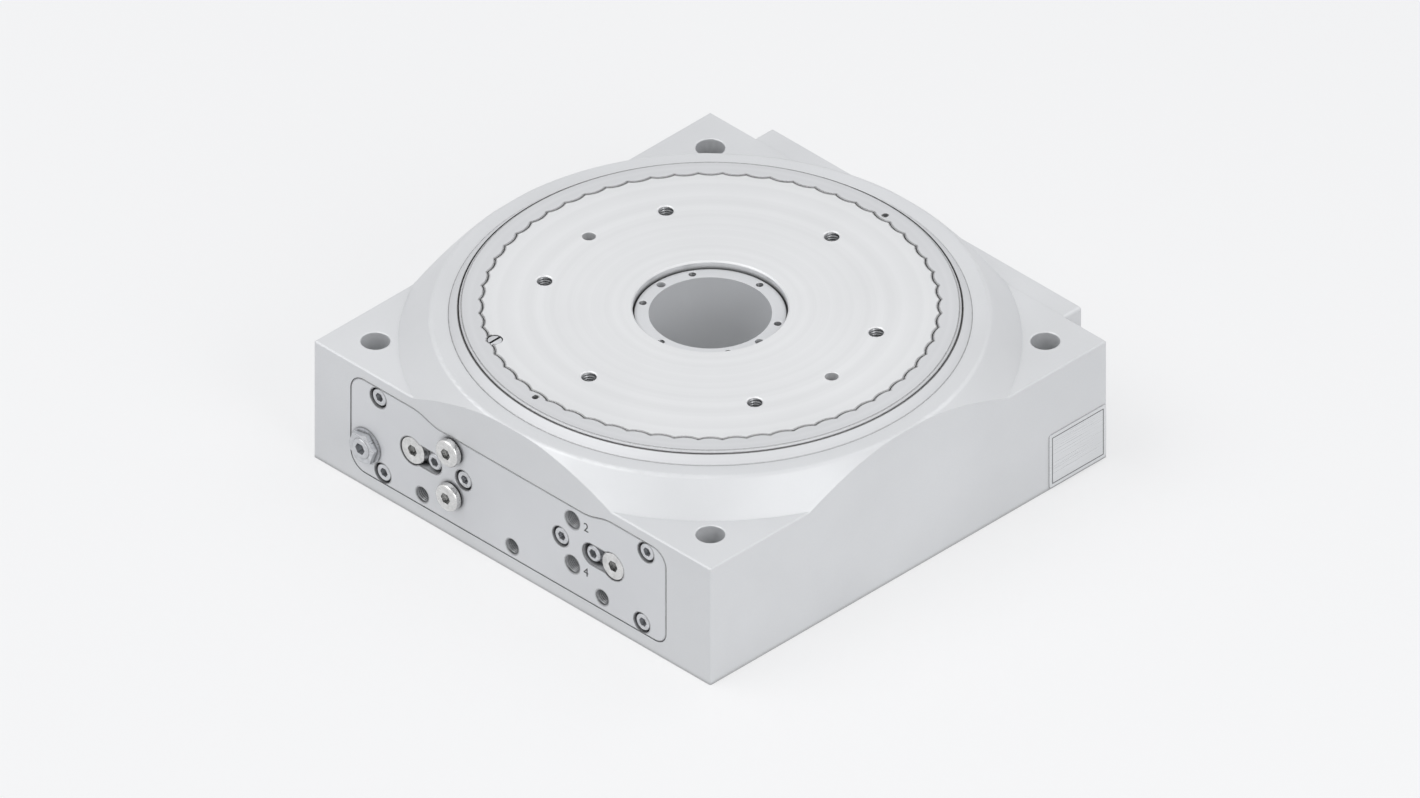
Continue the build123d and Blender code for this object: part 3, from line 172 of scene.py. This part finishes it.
class Nodes:
    """Builds one material's node tree."""

    def __init__(self, name):
        self.material = bpy.data.materials.new(name)
        self.material.use_nodes = True
        self.tree = self.material.node_tree
        self.shader = self.tree.nodes["Principled BSDF"]
        self.coordinates = self.add("ShaderNodeTexCoord").outputs["Object"]

    def add(self, kind, inputs=None, **settings):
        node = self.tree.nodes.new(kind)
        for key, value in settings.items():
            setattr(node, key, value)
        self.fill(node, inputs or {})
        return node

    def fill(self, node, inputs):
        """Links outputs to a node's inputs, or sets the inputs' own values."""
        for key, value in inputs.items():
            socket = node.inputs[key]
            if isinstance(value, bpy.types.NodeSocket):
                self.tree.links.new(value, socket)
            elif isinstance(value, tuple) and len(value) == 3 and socket.type == "RGBA":
                socket.default_value = (*value, 1.0)
            else:
                socket.default_value = value

    def finished(self, inputs):
        """Fills the material's shader and gives the material."""
        self.fill(self.shader, inputs)
        return self.material

    def math(self, operation, a, b=0.0):
        return self.add("ShaderNodeMath", {0: a, 1: b}, operation=operation).outputs[0]

    def times(self, a, b):
        return self.math("MULTIPLY", a, b)

    def spread(self, value, band, out):
        """Maps a band of values to another range."""
        inputs = {"Value": value, "From Min": band[0], "From Max": band[1],
                  "To Min": out[0], "To Max": out[1]}
        return self.add("ShaderNodeMapRange", inputs).outputs["Result"]

    def noise(self, scale, detail=2.0, roughness=0.5, vector=None):
        inputs = {"Vector": vector or self.coordinates, "Scale": scale, "Detail": detail,
                  "Roughness": roughness}
        return self.add("ShaderNodeTexNoise", inputs).outputs["Fac"]

    def streaks(self, scale):
        """Noise with its own scale along each axis."""
        inputs = {"Vector": self.coordinates, "Scale": scale}
        stretched = self.add("ShaderNodeMapping", inputs).outputs["Vector"]
        return self.noise(scale=1.0, detail=3.0, vector=stretched)

    def rings(self, radius, scale, detail):
        """Noise that changes only with the distance from the axis."""
        inputs = {"W": self.times(radius, scale), "Scale": 1.0, "Detail": detail}
        return self.add("ShaderNodeTexNoise", inputs, noise_dimensions="1D").outputs["Fac"]

    def radius(self):
        """Distance from the table's axis."""
        split = self.add("ShaderNodeSeparateXYZ", {0: self.coordinates})
        x2 = self.math("POWER", split.outputs["X"], 2.0)
        y2 = self.math("POWER", split.outputs["Y"], 2.0)
        return self.math("SQRT", self.math("ADD", x2, y2))

    def blend(self, factor, a, b):
        inputs = {"Factor": factor, "A": a, "B": b}
        return self.add("ShaderNodeMix", inputs, data_type="RGBA").outputs["Result"]

    def shades(self, pattern, colour, dark, pale):
        """A colour that goes between two shades of itself with a pattern."""
        factor = self.spread(pattern, NOISE_BAND, FULL_RANGE)
        return self.blend(factor, scaled(colour, dark), scaled(colour, pale))

    def spots(self, base, pattern, band, strength, colour):
        """A second colour where a pattern is high."""
        return self.blend(self.spread(pattern, band, (0.0, strength)), base, colour)

    def on_edges(self, base, width, strength, colour, full=EDGE_FULL):
        """A second colour along the edges."""
        factor = self.times(self.edge_mask(width, full), strength)
        return self.blend(factor, base, colour)

    def rounded(self, radius):
        """Normal that rounds sharp edges off."""
        inputs = {"Radius": radius}
        return self.add("ShaderNodeBevel", inputs, samples=BEVEL_SAMPLES).outputs["Normal"]

    def bump(self, height, distance, strength, edge_radius=None):
        """Normal with a pattern's relief, over rounded edges where a radius is given."""
        inputs = {"Height": height, "Distance": distance, "Strength": strength}
        if edge_radius is not None:
            inputs["Normal"] = self.rounded(edge_radius)
        return self.add("ShaderNodeBump", inputs).outputs["Normal"]

    def edge_mask(self, radius, full):
        """About 1 on the edges and 0 on the flats, wherever the viewer stands."""
        true = self.add("ShaderNodeNewGeometry").outputs["True Normal"]
        inputs = {0: self.rounded(radius), 1: true}
        dot = self.add("ShaderNodeVectorMath", inputs, operation="DOT_PRODUCT").outputs["Value"]
        return self.spread(dot, (1.0, full), FULL_RANGE)

    def painted_cavity_shade(self, colour, reach=3.0 * MM, left=0.22):
        """Paints shade into a colour in seams, sockets and holes, darkening it at most to the
        share that is left.
        """
        inputs = {"Distance": reach}
        node = self.add("ShaderNodeAmbientOcclusion", inputs, samples=CAVITY_SHADE_SAMPLES)
        shade = self.spread(node.outputs["AO"], CAVITY_SHADE_BAND, (1.0 - left, 0.0))
        return self.blend(shade, colour, BLACK)


def viewer_rays(tree):
    """1 for rays from the viewer, straight, mirrored or through glass, and 0 for all others."""
    path = tree.nodes.new("ShaderNodeLightPath")
    total = path.outputs["Is Camera Ray"]
    for kind in ("Is Glossy Ray", "Is Transmission Ray"):
        either = tree.nodes.new("ShaderNodeMath")
        either.operation = "MAXIMUM"
        tree.links.new(total, either.inputs[0])
        tree.links.new(path.outputs[kind], either.inputs[1])
        total = either.outputs[0]
    return total


def scaled(colour, factor):
    return tuple(min(1.0, c * factor) for c in colour)


# Materials

def anodised(name, colour, grain_scale, roughness, shade_lines=False):
    """Bead blasted and anodised aluminium: fine grain, faint clouding, paler worn edges.

    With shade lines, the edges get painted shade instead, as where a cover is let into its
    housing.
    """
    n = Nodes(name)
    clouds = n.noise(scale=14.0, detail=3.0)
    grain = n.noise(scale=grain_scale, detail=3.0, roughness=0.7)
    smudges = n.noise(scale=46.0, detail=4.0, roughness=0.62)
    base = n.shades(clouds, colour, dark=0.955, pale=1.03)
    base = n.spots(base, grain, band=(0.35, 0.65), strength=0.10, colour=scaled(colour, 0.72))
    if shade_lines:
        patches = n.spread(n.noise(scale=90.0), band=NOISE_BAND, out=(0.80, 0.95))
        base = n.on_edges(base, SHADE_LINE_WIDTH, patches, SEAM_SHADE, SHADE_LINE_FULL)
    else:
        patches = n.spread(n.noise(scale=220.0), band=(0.35, 0.75), out=(0.15, 0.65))
        base = n.on_edges(base, width=0.7 * MM, strength=patches, colour=WORN_ALUMINIUM)
    return n.finished({
        # Base colour with painted shade in seams, sockets and holes
        "Base Color": n.painted_cavity_shade(base),
        "Metallic": 0.35,
        "Roughness": n.spread(smudges, NOISE_BAND, (roughness - 0.05, roughness + 0.07)),
        "Normal": n.bump(grain, distance=0.03 * MM, strength=0.35, edge_radius=0.45 * MM),
    })


def turned(name, colour, roughness, metallic, groove, anisotropy, shade_lines=False):
    """Faced on a lathe: rings about the table's axis, faint clouding, bright worn edges.

    With shade lines, painted shade darkens the edges that lie between the radii listed for the
    shade lines.
    """
    n = Nodes(name)
    radius = n.radius()
    fine = n.rings(radius, FINE_RINGS * groove, detail=3.0)
    broad = n.rings(radius, BROAD_RINGS * groove, detail=2.0)
    clouds = n.noise(scale=20.0, detail=3.0)
    base = n.shades(broad, colour, dark=0.975, pale=1.02)
    base = n.spots(base, clouds, band=(0.35, 0.7), strength=0.22, colour=scaled(colour, 0.88))
    base = n.on_edges(base, width=0.5 * MM, strength=0.75, colour=WORN_STEEL)
    if shade_lines:
        edges = n.edge_mask(SHADE_LINE_WIDTH, SHADE_LINE_FULL)
        for inner, outer in SHADE_LINE_RADII:
            between = n.times(n.math("GREATER_THAN", radius, inner),
                              n.math("LESS_THAN", radius, outer))
            base = n.blend(n.times(n.times(edges, between), SHADE_LINE_STRENGTH), base, SEAM_SHADE)
    round_axis = n.add("ShaderNodeTangent", direction_type="RADIAL", axis="Z")
    return n.finished({
        # Base colour with painted shade in seams, sockets and holes
        "Base Color": n.painted_cavity_shade(base),
        "Metallic": metallic,
        "Roughness": n.spread(fine, NOISE_BAND, (roughness - 0.05, roughness + 0.08)),
        "Anisotropic": anisotropy,
        "Tangent": round_axis.outputs["Tangent"],
        "Normal": n.bump(fine, distance=0.012 * MM, strength=0.5, edge_radius=0.3 * MM),
    })


def machined(name, colour, roughness, metallic, coat=0.0, edge=1.3):
    """Small machined or plated part: fine streaks, light mottling, edges paler or darker."""
    n = Nodes(name)
    streaks = n.streaks(scale=(60.0, 60.0, 1400.0))
    mottle = n.noise(scale=380.0, detail=3.0)
    base = n.shades(mottle, colour, dark=0.86, pale=1.1)
    base = n.on_edges(base, width=0.35 * MM, strength=0.6, colour=scaled(colour, edge))
    return n.finished({
        # Base colour with painted shade in seams, sockets and holes
        "Base Color": n.painted_cavity_shade(base, reach=2.0 * MM, left=0.12),
        "Metallic": metallic,
        "Roughness": n.spread(streaks, NOISE_BAND, (roughness - 0.06, roughness + 0.08)),
        "Coat Weight": coat,
        "Normal": n.bump(streaks, distance=0.01 * MM, strength=0.4, edge_radius=0.2 * MM),
    })


def black_oxide(name):
    """Blackened alloy steel of inner screws: dark, faintly oily, rubbed brighter on its edges."""
    n = Nodes(name)
    mottle = n.noise(scale=700.0, detail=4.0, roughness=0.65)
    base = n.shades(mottle, BLACK_OXIDE, dark=0.7, pale=1.9)
    patches = n.spread(n.noise(scale=900.0), band=(0.4, 0.7), out=(0.1, 0.8))
    return n.finished({
        "Base Color": n.on_edges(base, width=0.3 * MM, strength=patches, colour=RUBBED_OXIDE),
        "Metallic": 0.6,
        "Roughness": n.spread(mottle, NOISE_BAND, (0.30, 0.45)),
        "Coat Weight": 0.25,
        "Coat Roughness": 0.3,
        "Normal": n.bump(mottle, distance=0.01 * MM, strength=0.4, edge_radius=0.2 * MM),
    })


def rubber(name, colour):
    """Moulded elastomer or plastic: matt, slightly dusty."""
    n = Nodes(name)
    dust = n.noise(scale=520.0, detail=4.0, roughness=0.7)
    return n.finished({
        "Base Color": n.spots(colour, dust, band=(0.42, 0.75), strength=0.35, colour=DUST),
        "Roughness": n.spread(dust, NOISE_BAND, (0.62, 0.82)),
        "Normal": n.bump(dust, distance=0.02 * MM, strength=0.5),
    })


def foil(name):
    """Brushed and lacquered plate foil, left blank."""
    n = Nodes(name)
    brushing = n.streaks(scale=(40.0, 25.0, 5200.0))
    clouds = n.noise(scale=60.0)
    base = n.shades(brushing, FOIL, dark=0.93, pale=1.04)
    base = n.spots(base, clouds, band=(0.4, 0.7), strength=0.15, colour=scaled(FOIL, 0.85))
    return n.finished({
        "Base Color": base,
        "Metallic": 0.6,
        "Roughness": n.spread(brushing, NOISE_BAND, (0.26, 0.36)),
        "Coat Weight": 0.5,
        "Coat Roughness": 0.12,
        "Normal": n.bump(brushing, distance=0.008 * MM, strength=0.5, edge_radius=0.15 * MM),
    })


def ink(name):
    """Dark, pitted paint of the port numbers and the plate's border."""
    n = Nodes(name)
    pits = n.noise(scale=2200.0, detail=3.0)
    base = n.spots(INK, pits, band=(0.35, 0.7), strength=1.0, colour=scaled(INK, 3.0))
    return n.finished({
        "Base Color": base,
        "Roughness": n.spread(pits, NOISE_BAND, (0.5, 0.7)),
        "Normal": n.bump(pits, distance=0.01 * MM, strength=0.5),
    })


def pale_floor(name):
    """Pale floor that looks near white to the viewer but keeps the object's shadow."""
    n = Nodes(name)
    n.finished({
        "Base Color": n.blend(n.noise(scale=3.0), scaled(FLOOR, 0.995), FLOOR),
        "Roughness": 0.75,
        "Specular IOR Level": 0.2,
    })
    white = n.add("ShaderNodeEmission", {"Color": WHITE, "Strength": 1.0})
    glow = n.times(viewer_rays(n.tree), FLOOR_GLOW)
    inputs = {0: glow, 1: n.shader.outputs[0], 2: white.outputs[0]}
    mix = n.add("ShaderNodeMixShader", inputs)
    n.fill(n.tree.nodes["Material Output"], {"Surface": mix.outputs[0]})
    return n.material


# Meshes

def add_object(name, data):
    thing = bpy.data.objects.new(name, data)
    bpy.context.collection.objects.link(thing)
    return thing


def new_piece(name, vertices, faces, material, body):
    """Flat-shaded mesh that moves with a body."""
    mesh = bpy.data.meshes.new(name)
    mesh.from_pydata(vertices, [], faces)
    mesh.validate()
    mesh.materials.append(material)
    piece = add_object(name, mesh)
    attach(piece, body)


def thread_ridge(vertices, faces, mouth, out, thread):
    """Adds one inside thread to a mesh: a ridge that winds down a hole from its mouth."""
    out = Vector(out)
    side = out.orthogonal().normalized()
    other = out.cross(side)
    count = int(thread.depth / thread.pitch * RIDGE_STEPS)
    first = len(vertices)
    root, crest = thread.wall_r + RIDGE_ROOT, thread.wall_r - thread.ridge
    section = ((root, RIDGE_FOOT), (crest, RIDGE_CREST), (crest, -RIDGE_CREST),
               (root, -RIDGE_FOOT))
    for i in range(count + 1):
        angle = 2 * math.pi * i / RIDGE_STEPS
        fade = min(1.0, i / RIDGE_FADE, (count - i) / RIDGE_FADE)
        along = -thread.pitch * i / RIDGE_STEPS - RIDGE_START * thread.pitch
        for radius, rise in section:
            point = Vector(mouth) + out * (along + rise * thread.pitch)
            point += (side * math.cos(angle) + other * math.sin(angle)) * (
                root - (root - radius) * fade)
            vertices.append(point)
    row = len(section)
    for i in range(count):
        for k in range(row - 1):
            a = first + row * i + k
            faces.append((a, a + 1, a + row + 1, a + row))


def threads(name, mouths, out, thread, material, body):
    vertices, faces = [], []
    for mouth in mouths:
        thread_ridge(vertices, faces, mouth, out, thread)
    new_piece(name, vertices, faces, material, body)


def on_circle(radius, height):
    """Mouths of the holes of a circle about the table's axis."""
    turns = [i / CIRCLE_HOLES for i in range(CIRCLE_HOLES)]
    angles = [math.radians(FIRST_HOLE_ANGLE + 360.0 * turn) for turn in turns]
    return [(radius * math.cos(a), radius * math.sin(a), height) for a in angles]


def make_threads():
    """Threads in the holes of the table, the core and the front cover."""
    up, front = (0, 0, 1), (0, -1, 0)
    mouth_y = FRONT_Y + FRONT_MOUTH
    plate = on_circle(BOLT_CIRCLE_R, TABLE_TOP - M8_MOUTH)
    core = on_circle(CORE_CIRCLE_R, CORE_TOP - M4_MOUTH)
    ports = [(x, mouth_y, z) for _, x, z in PORTS]
    sensors = [(x, mouth_y, z) for x, z in SENSORS]
    # Thread ridges in a dark steel that paints the shade inside the holes
    steel = machined("cut_thread", THREAD_PAINTED_SHADE, roughness=0.32, metallic=0.85)
    threads("m8_threads", plate, up, M8, steel, "turntable")
    threads("m4_threads", core, up, M4, steel, "base")
    threads("port_threads", ports, front, PORT_THREAD, steel, "base")
    threads("sensor_threads", sensors, front, SENSOR_THREAD, steel, "base")


def port_number(text, height_z, material):
    """Number beside a port, a little proud of the front cover."""
    curve = bpy.data.curves.new("port_number_" + text, "FONT")
    curve.body = text
    curve.size = MARK_HEIGHT / DIGIT_HEIGHT
    curve.extrude = MARK_EXTRUDE
    curve.align_x = "LEFT"
    curve.align_y = "CENTER"
    curve.resolution_u = MARK_RESOLUTION
    curve.materials.append(material)
    piece = add_object(curve.name, curve)
    piece.rotation_euler = (math.radians(90), 0, 0)
    piece.location = (MARK_X, FRONT_Y - MARK_PROUD, height_z)
    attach(piece, "base")


def label_border(material):
    """Thin raised frame near the edge of the blank name plate."""
    low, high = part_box("label_plate")
    x = high[0] + BORDER_PROUD
    outer = (low[1] + BORDER_INSET, high[1] - BORDER_INSET,
             low[2] + BORDER_INSET, high[2] - BORDER_INSET)
    inner = (outer[0] + BORDER_WIDTH, outer[1] - BORDER_WIDTH,
             outer[2] + BORDER_WIDTH, outer[3] - BORDER_WIDTH)

    def corners(limits, at):
        y0, y1, z0, z1 = limits
        return [(at, y0, z0), (at, y1, z0), (at, y1, z1), (at, y0, z1)]

    vertices = (corners(outer, x) + corners(inner, x)
                + corners(outer, high[0]) + corners(inner, high[0]))
    faces = []
    for i in range(4):
        j = (i + 1) % 4
        top, outer_wall = (i, j, 4 + j, 4 + i), (i, 8 + i, 8 + j, j)
        inner_wall = (4 + i, 4 + j, 12 + j, 12 + i)
        faces += [top, outer_wall, inner_wall]
    new_piece("label_border", vertices, faces, material, "base")


def make_marks():
    """Port numbers and the border of the name plate."""
    number_ink = ink("number_ink")
    for text, _, height_z in PORTS:
        port_number(text, height_z, number_ink)
    label_border(number_ink)


# Stage

def aim(thing, direction):
    thing.rotation_mode = "QUATERNION"
    thing.rotation_quaternion = direction.to_track_quat("-Z", "Y")


def make_camera():
    camera = bpy.data.cameras.new("camera")
    camera.type = "ORTHO"
    camera.ortho_scale = VIEW_WIDTH
    camera.clip_end = VIEW_REACH
    holder = add_object("camera", camera)
    flat = math.cos(VIEW_ELEVATION)
    back = Vector((math.sin(VIEW_AZIMUTH) * flat, -math.cos(VIEW_AZIMUTH) * flat,
                   math.sin(VIEW_ELEVATION)))
    holder.location = VIEW_TARGET + back * VIEW_DISTANCE
    aim(holder, -back)
    bpy.context.scene.camera = holder


def make_lamps():
    for name, location, target, size, power in LAMPS:
        light = bpy.data.lights.new(name, "AREA")
        light.shape = "DISK"
        light.size = size
        light.energy = power
        holder = add_object(name, light)
        holder.location = location
        aim(holder, Vector(target) - Vector(location))


def make_world():
    """Soft light all round, and plain white where the viewer sees past the floor."""
    world = bpy.data.worlds.new("world")
    bpy.context.scene.world = world
    world.use_nodes = True
    tree = world.node_tree
    soft, seen = tree.nodes["Background"], tree.nodes.new("ShaderNodeBackground")
    for node, colour, strength in ((soft, SKY, SKY_STRENGTH), (seen, WHITE, 1.0)):
        node.inputs["Color"].default_value = (*colour, 1.0)
        node.inputs["Strength"].default_value = strength
    mix = tree.nodes.new("ShaderNodeMixShader")
    tree.links.new(viewer_rays(tree), mix.inputs["Fac"])
    tree.links.new(soft.outputs[0], mix.inputs[1])
    tree.links.new(seen.outputs[0], mix.inputs[2])
    tree.links.new(mix.outputs[0], tree.nodes["World Output"].inputs["Surface"])


def make_floor():
    h = FLOOR_HALF
    mesh = bpy.data.meshes.new("floor")
    mesh.from_pydata([(-h, -h, 0), (h, -h, 0), (h, h, 0), (-h, h, 0)], [], [(0, 1, 2, 3)])
    mesh.materials.append(pale_floor("pale_floor"))
    floor = add_object("floor", mesh)
    floor.location.z = -FLOOR_DROP


# Finish of the frame's nodes

def dress(frame):
    """Gives each CAD node the finish that its real part has."""
    steel = turned("table_steel_turned", STEEL, roughness=0.44, metallic=0.50,
                   groove=520.0, anisotropy=0.40, shade_lines=True)
    ring_steel = turned("ring_steel_turned", RING_STEEL, roughness=0.50, metallic=0.40,
                        groove=700.0, anisotropy=0.25, shade_lines=True)
    core = turned("core_turned", ALUMINIUM, roughness=0.40, metallic=0.2,
                  groove=620.0, anisotropy=0.2)
    body = anodised("body_anodised", ALUMINIUM, grain_scale=2600.0, roughness=0.42)
    front = anodised("front_anodised", FRONT_ALUMINIUM, grain_scale=3200.0, roughness=0.38,
                     shade_lines=True)
    hard = machined("hardened_steel", HARD_STEEL, roughness=0.34, metallic=0.9)
    zinc = machined("zinc_plated", ZINC, roughness=0.30, metallic=0.85, coat=0.15)
    # Zinc with its edges darkened to a tenth of its colour
    dark_edged = machined("oiled_zinc", ZINC, roughness=0.32, metallic=0.70, edge=0.1)
    nickel = machined("nickel_plated", NICKEL, roughness=0.22, metallic=0.95)
    bronze = machined("bronze_machined", BRONZE, roughness=0.36, metallic=0.9)
    polished = machined("polished_steel", scaled(STEEL, 1.05), roughness=0.14, metallic=1.0)
    dark = black_oxide("black_oxide_screws")
    soft = rubber("black_rubber", RUBBER)
    plastic = rubber("guide_plastic", PLASTIC)
    plate = foil("blank_foil")
    finishes = {
        body: ("housing", "rear_cover"),
        front: ("front_cover", "pit_plate"),
        core: ("centre_hub", "lock_cylinder"),
        steel: ("table_plate",),
        ring_steel: ("rim_ring", "outer_bearing_ring"),
        hard: ("table_lock_teeth", "table_drive_teeth", "lock_ring", "clutch_ring",
               "drive_gear", "rack_left", "rack_right", "striker", "gear_retaining_ring"),
        zinc: ("front_cover_screws", "rear_cover_screws", "rim_lock_screw",
               "pit_plate_screws", "lock_guide_pins"),
        dark_edged: ("absorber_body", "absorber_nut", "absorber_washer", "throttle_left",
                "throttle_right"),
        nickel: ("port_plugs", "cylinder_plugs"),
        bronze: ("gear_bush", "ball_cage"),
        polished: ("bearing_balls", "absorber_rod"),
        dark: ("hub_screws", "rim_ring_screws", "tooth_ring_screws", "striker_screw"),
        soft: ("front_gasket", "rear_gasket", "cover_o_rings", "port_plug_seals",
               "lock_piston_seals", "piston_seals_left", "piston_seals_right"),
        plastic: ("guide_bands_left", "guide_bands_right"),
        plate: ("label_plate",),
    }
    for material, names in finishes.items():
        for name in names:
            for slot in frame["nodes"][name].material_slots:
                slot.material = material


def main():
    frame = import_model()
    make_camera()
    make_world()
    make_lamps()
    make_floor()
    bpy.context.scene.view_settings.view_transform = "Standard"
    dress(frame)
    make_threads()
    make_marks()


main()
